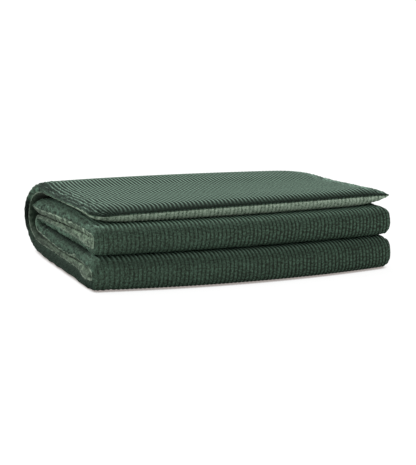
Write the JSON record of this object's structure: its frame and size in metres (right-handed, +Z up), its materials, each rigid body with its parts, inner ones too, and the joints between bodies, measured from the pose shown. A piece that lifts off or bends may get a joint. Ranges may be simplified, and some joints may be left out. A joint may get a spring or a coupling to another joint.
{
  "type": "bed runner",
  "caption": "Padded bed runner with a ribbed dark face and a paler reverse, folded back and forth into a flat stack with rounded folds at the front and back.",
  "frame": {"origin": "centre of the underside of the folded stack, on the surface it rests on", "axes": "+X to the right along the folds, +Y from the front folds towards the back wrap, +Z up"},
  "size_m": [0.7248, 0.645, 0.176],
  "materials": {
    "face_cloth": "soft ribbed cotton with a slight sheen on the ribs",
    "reverse_cloth": "soft matt cotton"
  },
  "bodies": {
    "root": {"face_panel": "face_cloth", "reverse_panel": "reverse_cloth"}
  },
  "joints": []
}
